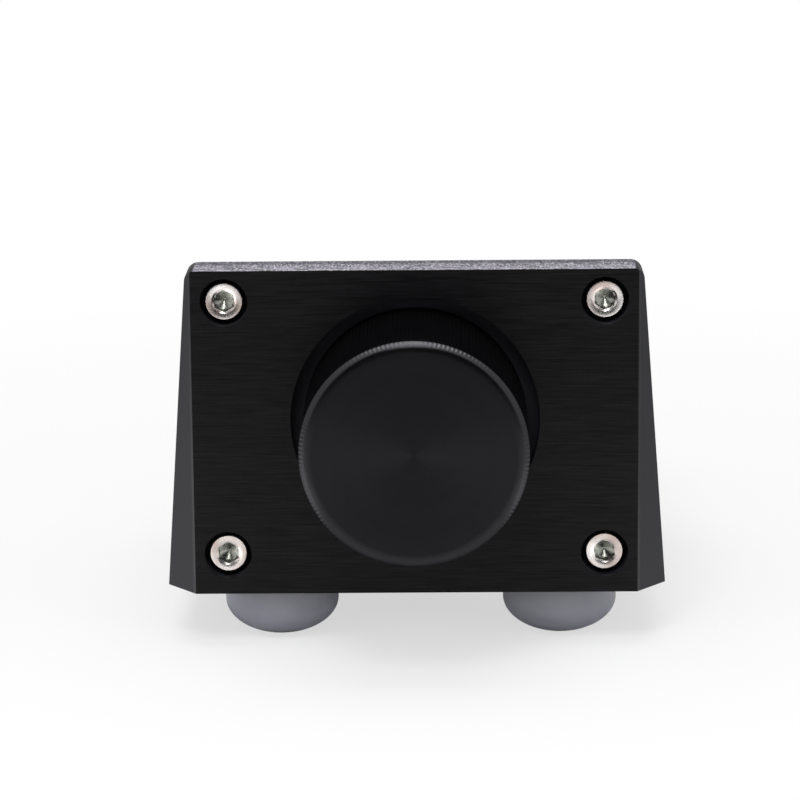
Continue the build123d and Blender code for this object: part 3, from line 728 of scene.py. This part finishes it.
def anodised_face():
    """Front panel: black anodised over a straight brushed grain, with a sparkling edge along the top.

    Its bevels are painted lighter than the face, a painted light for the brighter reflections that they
    catch, and the inside of the round recess and of the counterbores is painted a little greyer, a painted
    fill light against their shade.
    The top edge is painted light grey as a painted highlight of the light from above, brightest in front,
    with a painted shade in a duller strip along its back; its streaks are grain and its glints bare metal
    flecks.
    """
    made = Finish("black_anodised_brushed", ior=1.205)
    tree = made.tree
    grain = made.group(brushed_streaks)
    sparkle = made.group(sawn_sparkle)
    place = made.axes()
    side = math_node(tree, "ABSOLUTE", place["X"])
    flank = spread(tree, side, face_half_width, face_half_width + mask_width)
    lip = panel_low.y + recess_lip
    inside = spread(tree, place["Y"], lip, lip + mask_width)
    edge = spread(tree, place["Z"], panel_high.z - top_skin_start, panel_high.z - top_skin_end)
    far = spread(tree, place["Y"], panel_low.y, panel_high.y)
    strip = spread(tree, far, back_strip_start, back_strip_end)
    plain = made.mixed((0.0010, 0.0010, 0.0013), (0.0074, 0.0074, 0.0083), grain["Fine"])
    # Painted fill light: inside the recess and the counterbores the colour is painted a little greyer, to
    # lift their shade
    turned = made.mixed(plain, (0.0130, 0.0127, 0.0165), inside)
    # Painted light: the bevels are painted lighter than the face, for the brighter reflections that they
    # catch
    bevel_painted_light = made.mixed(turned, (0.0205, 0.0207, 0.0232), flank)
    # Painted highlight and shade on the top edge: light grey, lightest in front, darker in a strip along
    # its back, where the glints thin out too
    near = made.mixed((0.300, 0.286, 0.340), (0.180, 0.170, 0.207), spread(tree, far, 0.0, 0.5))
    top_painted_light = made.mixed(near, (0.078, 0.072, 0.094), strip)
    top_streaked_painted_light = made.mixed((0.012, 0.011, 0.016), top_painted_light, sparkle["Streaks"])
    topped = made.mixed(bevel_painted_light, top_streaked_painted_light, edge)
    fading = math_node(tree, "MULTIPLY", edge, spread(tree, strip, 0.0, 1.0, 1.0, 0.5))
    glint = math_node(tree, "MULTIPLY", sparkle["Glints"], fading)
    made.colour(topped, (0.80, 0.77, 0.86), glint)
    made.feed("Metallic", glint)
    brushed = spread(tree, grain["Coarse"], 0.25, 0.75, 0.27, 0.37)
    made.feed("Roughness", math_node(tree, "MAXIMUM", brushed, math_node(tree, "MULTIPLY", inside, 0.6)))
    first = made.bump(grain["Coarse"], 0.004 * mm, 0.5)
    made.bump(grain["Fine"], 0.0025 * mm, 0.4, first)
    return made.material


def anodised_case():
    """Case, base and rear plate: black anodised over bead blasting, with a little dust."""
    made = Finish("black_anodised_blasted", ior=1.3)
    skin = made.group(blasted_skin, Scale=3200.0)
    dust = made.group(fine_dust, Amount=0.25)
    plain = made.mixed((0.0065, 0.0065, 0.0075), (0.0115, 0.0115, 0.0125), skin["Drift"])
    made.colour(plain, (0.12, 0.12, 0.12), dust["Specks"])
    made.rough(skin["Drift"], 0.42, 0.52)
    made.bump(skin["Pits"], 0.012 * mm, 0.7)
    return made.material


def anodised_knob():
    """Knob: a turned front in fine grooves, and a knurled grip.

    The front mirrors a little, and the grip less sharply. The crown and the chamfer were cut last, with a
    sharper tool, and mirror a little more than the face.
    """
    made = Finish("black_anodised_turned", metallic=1.0, ior=1.06)
    tree = made.tree
    rings = made.group(turned_rings, Pitch=knob_groove_pitch)
    rim = knob_radius - knob_chamfer
    cut = spread(tree, marked(tree, "from_axis"), rim - knob_crown_width, rim + knob_chamfer / 2)
    grip_start = knob_low.y + knob_crown_drop + knob_chamfer
    grip = spread(tree, made.axes()["Y"], grip_start, grip_start + mask_width)
    front = math_node(tree, "SUBTRACT", 1.0, grip)
    face = made.mixed((0.0166, 0.0166, 0.0188), (0.0212, 0.0212, 0.0238), rings["Bands"])
    cut_face = made.mixed(face, (0.0390, 0.0390, 0.0418), cut)
    made.colour(cut_face, (0.0125, 0.0125, 0.0142), grip)
    made.shader.inputs["Specular Tint"].default_value = (0.38, 0.38, 0.38, 1.0)
    polish = spread(tree, rings["Bands"], 0.25, 0.75, 0.20, 0.25)
    made.feed("Roughness", math_node(tree, "MAXIMUM", polish, math_node(tree, "MULTIPLY", grip, 0.42)))
    made.bump(math_node(tree, "MULTIPLY", rings["Grooves"], front), 0.006 * mm)
    return made.material


def stainless():
    """Stainless screws: steel faced on a lathe, here bright and there tarnished, with the socket painted
    darker as painted shade.
    """
    made = Finish("stainless_steel", metallic=1.0)
    tree = made.tree
    rings = made.group(turned_rings, Pitch=screw_groove_pitch)
    skin = made.group(blasted_skin, Scale=4200.0)
    socket = marked(tree, "in_socket")
    faced = math_node(tree, "SUBTRACT", 1.0, socket)
    tarnish = spread(tree, noise_node(tree, made.where, 160.0, 1.0), 0.36, 0.60)
    outside = made.mixed((0.57, 0.47, 0.43), (0.94, 0.91, 0.89), tarnish)
    # Painted shade: the socket is painted a darker grey-green, for the shade inside it
    made.colour(outside, (0.36, 0.37, 0.33), socket)
    made.rough(skin["Pits"], 0.20, 0.32)
    first = made.bump(math_node(tree, "MULTIPLY", rings["Bands"], faced), 0.03 * mm, 0.7)
    made.bump(math_node(tree, "MULTIPLY", skin["Pits"], faced), 0.003 * mm, 0.5, first)
    return made.material


def silicone():
    """Feet: cloudy grey silicone that lets light through, bluish to pale, and painted darker low down as
    painted shade.
    """
    made = Finish("grey_silicone", ior=1.36)
    skin = made.group(blasted_skin, Scale=900.0)
    # Painted shade: the feet are painted darker towards the bottom
    low = spread(made.tree, made.axes()["Z"], foot_painted_shade_start, foot_painted_shade_end, 0.7, 0.0)
    cloudy = made.mixed((0.175, 0.182, 0.220), (0.247, 0.245, 0.254), skin["Drift"])
    made.colour(cloudy, (0.139, 0.144, 0.175), low)
    made.rough(skin["Drift"], 0.40, 0.50)
    made.bump(skin["Pits"], 0.01 * mm, 0.25)
    made.shader.inputs["Subsurface Weight"].default_value = 1.0
    made.shader.inputs["Subsurface Radius"].default_value = (1.0, 1.0, 1.15)
    made.shader.inputs["Subsurface Scale"].default_value = 16.0 * mm
    return made.material


def plated(name, low, high, roughness, scale=2400.0):
    """Plated, tinned or turned metal: a bright colour that drifts a little, with fine pits."""
    made = Finish(name, metallic=1.0)
    skin = made.group(blasted_skin, Scale=scale)
    made.colour(low, high, skin["Drift"])
    made.rough(skin["Drift"], roughness * 0.85, roughness * 1.2)
    made.bump(skin["Pits"], 0.006 * mm, 0.5)
    return made.material


def moulded(name, low, high, roughness):
    """Moulded plastic or board: a flat colour that drifts a little over a fine texture."""
    made = Finish(name, ior=1.5)
    skin = made.group(blasted_skin, Scale=1800.0)
    made.colour(low, high, skin["Drift"])
    made.rough(skin["Drift"], roughness * 0.85, roughness * 1.15)
    made.bump(skin["Pits"], 0.01 * mm, 0.4)
    return made.material


finishes = {
    "black_anodised_face": anodised_face(),
    "black_anodised_case": anodised_case(),
    "black_anodised_knob": anodised_knob(),
    "stainless_screws": stainless(),
    "clear_grey_silicone": silicone(),
    "black_screws": plated("black_oxide_steel", (0.022, 0.021, 0.022), (0.045, 0.043, 0.043), 0.36),
    "zinc_screws": plated("zinc_plated_steel", (0.55, 0.55, 0.53), (0.68, 0.67, 0.62), 0.3),
    "turned_steel": plated("turned_steel", (0.48, 0.48, 0.49), (0.60, 0.60, 0.60), 0.24),
    "spring_steel": plated("spring_steel", (0.24, 0.24, 0.26), (0.34, 0.34, 0.35), 0.3),
    "contact_metal": plated("spring_bronze", (0.70, 0.50, 0.28), (0.82, 0.62, 0.36), 0.26),
    "tinned_pins": plated("tinned_brass", (0.62, 0.62, 0.60), (0.74, 0.73, 0.70), 0.35),
    "zinc_casting": plated("die_cast_zinc", (0.34, 0.34, 0.34), (0.44, 0.44, 0.43), 0.45, 1500.0),
    "zinc_plate": plated("zinc_plated_plate", (0.56, 0.56, 0.55), (0.66, 0.65, 0.60), 0.32),
    "nickel_hardware": plated("nickel_plate", (0.58, 0.56, 0.52), (0.68, 0.65, 0.60), 0.2),
    "brass_standoffs": plated("turned_brass", (0.62, 0.45, 0.20), (0.72, 0.54, 0.27), 0.25),
    "rotor_plastic": moulded("rotor_plastic", (0.020, 0.020, 0.021), (0.030, 0.030, 0.031), 0.5),
    "frame_plastic": moulded("frame_plastic", (0.035, 0.09, 0.06), (0.05, 0.115, 0.075), 0.45),
    "wafer_board": moulded("phenolic_board", (0.16, 0.075, 0.03), (0.21, 0.10, 0.045), 0.5),
    "jack_plastic": moulded("black_nylon", (0.010, 0.010, 0.011), (0.016, 0.016, 0.017), 0.38),
    "circuit_board": moulded("green_board", (0.012, 0.07, 0.03), (0.018, 0.095, 0.04), 0.35),
}
finishes["black_anodised_rear"] = finishes["black_anodised_case"]


def dress_nodes():
    """Give every node of the frame the finish of its material slot."""
    for row in frame["record"]["subparts"]:
        mesh = frame["nodes"][row["node"]].data
        mesh.materials.clear()
        mesh.materials.append(finishes[row["material_slot"]])


def dress(made, slot, body, *nodes):
    """Finish a new piece, set it on its body, and let it stand for the nodes that it replaces."""
    made.data.materials.clear()
    made.data.materials.append(finishes[slot])
    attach(made, body)
    if nodes:
        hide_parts(*nodes)


dress_nodes()
dress(knob_piece(), "black_anodised_knob", "volume_knob", "knob")
dress(cap_screws_piece(), "stainless_screws", "case", "front_panel_screws")
dress(rear_screws_piece(), "black_screws", "case", "rear_panel_screws")
for corner in ("front_left", "front_right", "rear_left", "rear_right"):
    dress(foot_piece("foot_" + corner), "clear_grey_silicone", "case", "foot_" + corner)
dress(jack_noses_piece(), "nickel_hardware", "case")
edge_widths = {"front_panel": 0.18, "case_shell": 0.15, "rear_panel": 0.2, "base_plate": 0.2}
for node, width in edge_widths.items():
    ease_edges(node, width * mm)

# Camera, placed in front and above; its lens and sensor are in millimetres
camera_place = (0.00549, -0.69060, 0.18871)
camera_pitch = math.radians(12.059)
camera_yaw = math.radians(-0.725)
camera_roll = math.radians(-0.521)
camera_lens = 160.72
camera_sensor = 36.0

# Floor, dark cards and room
floor_reach = 12.0
floor_grey = 0.88
floor_near_white = 0.62
floor_fade_start, floor_fade_end = 0.12, 0.34
flag_near_left, flag_near_right, flag_far = -0.44, -0.38, -1.1
flag_half_width, flag_height, flag_lift = 0.6, 1.3, 1.0 * mm
flag_upright_half_width = 0.85
flag_grey = 0.03
matt_roughness = 0.9
room_on_matt = 0.56

# Lamps: place, target, size, radiance, and whether they show everywhere, on matt or in gloss alone
middle = (0.0, 0.0, 0.04)
feet = (0.0, 0.0, 5 * mm)
lamps = {
    "softbox_above": ((0.0, -0.05, 0.95), middle, (0.60, 0.50), 2.4, "everywhere"),
    "softbox_front": ((-0.12, -0.72, 0.85), middle, (0.35, 0.35), 11.0, "matt"),
    "fill_right": ((0.60, -0.40, 0.11), feet, (0.34, 0.20), 7.0, "matt"),
    "fill_left": ((-0.60, -0.40, 0.11), feet, (0.34, 0.20), 8.0, "matt"),
    "strip_above": ((0.0, -0.25, 0.95), middle, (0.62, 0.25), 4.0, "gloss"),
    "strip_above_wide": ((0.0, -0.25, 0.96), middle, (1.50, 0.25), 2.1, "gloss"),
    "window_front": ((-0.02, -0.80, 0.74), middle, (0.26, 0.26), 6.0, "gloss"),
    "card_left": ((-0.135, 0.0, 4 * mm), (-0.135, 0.0, 1.0), (0.17, 0.28), 1.15, "gloss"),
    "card_right": ((0.085, 0.0, 4 * mm), (0.085, 0.0, 1.0), (0.07, 0.28), 0.9, "gloss"),
}


def add_camera():
    """Camera that looks down by the pitch, to the right by the yaw, and leans by the roll."""
    ahead = Vector((
        math.sin(camera_yaw) * math.cos(camera_pitch),
        math.cos(camera_yaw) * math.cos(camera_pitch),
        -math.sin(camera_pitch),
    ))
    right = Vector((math.cos(camera_yaw), -math.sin(camera_yaw), 0.0))
    up = right.cross(ahead)
    leaning_right = right * math.cos(camera_roll) + up * math.sin(camera_roll)
    leaning_up = up * math.cos(camera_roll) - right * math.sin(camera_roll)
    lens = bpy.data.cameras.new("camera")
    lens.lens = camera_lens
    lens.sensor_width = camera_sensor
    lens.clip_start = 0.01
    lens.clip_end = 50.0
    camera = bpy.data.objects.new("camera", lens)
    facing = Matrix((leaning_right, leaning_up, -ahead)).transposed().to_4x4()
    camera.matrix_world = Matrix.Translation(camera_place) @ facing
    bpy.context.scene.collection.objects.link(camera)
    bpy.context.scene.camera = camera


def sheet_mesh(name, corners):
    """Flat sheet from its corners, going round."""
    mesh = bpy.data.meshes.new(name)
    mesh.from_pydata(corners, [], [tuple(range(len(corners)))])
    made = bpy.data.objects.new(name, mesh)
    bpy.context.scene.collection.objects.link(made)
    return made


def matt_grey(name, grey):
    """Plain rough grey; gives back the material and its shader."""
    material = bpy.data.materials.new(name)
    material.use_nodes = True
    shader = material.node_tree.nodes["Principled BSDF"]
    shader.inputs["Base Color"].default_value = (grey, grey, grey, 1.0)
    shader.inputs["Roughness"].default_value = matt_roughness
    return material, shader


def add_floor():
    """Pale floor: it keeps the shadow near the object, and farther off the camera sees it plain white."""
    corners = [(x * floor_reach, y * floor_reach, 0.0) for x, y in ((-1, -1), (1, -1), (1, 1), (-1, 1))]
    floor = sheet_mesh("floor", corners)
    material, shader = matt_grey("pale_floor", floor_grey)
    tree = material.node_tree
    shader.inputs["Specular IOR Level"].default_value = 0.0
    white = tree.nodes.new("ShaderNodeEmission")
    where = tree.nodes.new("ShaderNodeTexCoord").outputs["Object"]
    distance = tree.nodes.new("ShaderNodeVectorMath")
    distance.operation = "LENGTH"
    tree.links.new(where, distance.inputs[0])
    far = spread(tree, distance.outputs["Value"], floor_fade_start, floor_fade_end, floor_near_white, 1.0)
    path = tree.nodes.new("ShaderNodeLightPath")
    seen = math_node(tree, "MULTIPLY", far, path.outputs["Is Camera Ray"])
    mix = tree.nodes.new("ShaderNodeMixShader")
    tree.links.new(seen, mix.inputs[0])
    tree.links.new(shader.outputs[0], mix.inputs[1])
    tree.links.new(white.outputs[0], mix.inputs[2])
    tree.links.new(mix.outputs[0], tree.nodes["Material Output"].inputs["Surface"])
    floor.data.materials.append(material)


def add_flags():
    """Dark cards in front, one low over the floor and one upright behind it, that only reflections see."""
    material, _ = matt_grey("dark_card", flag_grey)
    low, side, wide = flag_lift, flag_half_width, flag_upright_half_width
    cards = {
        "flag_low": [
            (-side, flag_near_left, low),
            (side, flag_near_right, low),
            (side, flag_far, low),
            (-side, flag_far, low),
        ],
        "flag_upright": [
            (-wide, flag_far, low),
            (wide, flag_far, low),
            (wide, flag_far, flag_height),
            (-wide, flag_far, flag_height),
        ],
    }
    for label, corners in cards.items():
        card = sheet_mesh(label, corners)
        card.data.materials.append(material)
        card.visible_camera = False
        card.visible_diffuse = False
        card.visible_shadow = False
        card.visible_transmission = False


def add_lamp(name, place, target, size, radiance, shows):
    """Rectangular lamp of that radiance, turned towards a point, that shows as the table of lamps says."""
    lamp = bpy.data.lights.new(name, "AREA")
    lamp.shape = "RECTANGLE"
    lamp.size, lamp.size_y = size
    lamp.energy = radiance * math.pi * size[0] * size[1]
    made = bpy.data.objects.new(name, lamp)
    made.location = place
    made.rotation_euler = (Vector(target) - Vector(place)).to_track_quat("-Z", "Y").to_euler()
    made.visible_camera = False
    made.visible_diffuse = shows != "gloss"
    made.visible_transmission = shows != "gloss"
    made.visible_glossy = shows != "matt"
    bpy.context.scene.collection.objects.link(made)


def add_world():
    """White room: plain white to the camera and to reflections, softer as a light on matt surfaces."""
    world = bpy.data.worlds.new("white_room")
    bpy.context.scene.world = world
    world.use_nodes = True
    tree = world.node_tree
    room = tree.nodes["Background"]
    room.inputs["Color"].default_value = (1.0, 1.0, 1.0, 1.0)
    path = tree.nodes.new("ShaderNodeLightPath")
    glossy = math_node(tree, "MAXIMUM", path.outputs["Is Glossy Ray"], path.outputs["Is Transmission Ray"])
    seen = math_node(tree, "MAXIMUM", glossy, path.outputs["Is Camera Ray"])
    tree.links.new(spread(tree, seen, 0.0, 1.0, room_on_matt, 1.0), room.inputs["Strength"])


add_camera()
add_floor()
add_flags()
add_world()
for name, row in lamps.items():
    add_lamp(name, *row)
bpy.context.scene.view_settings.view_transform = "Standard"
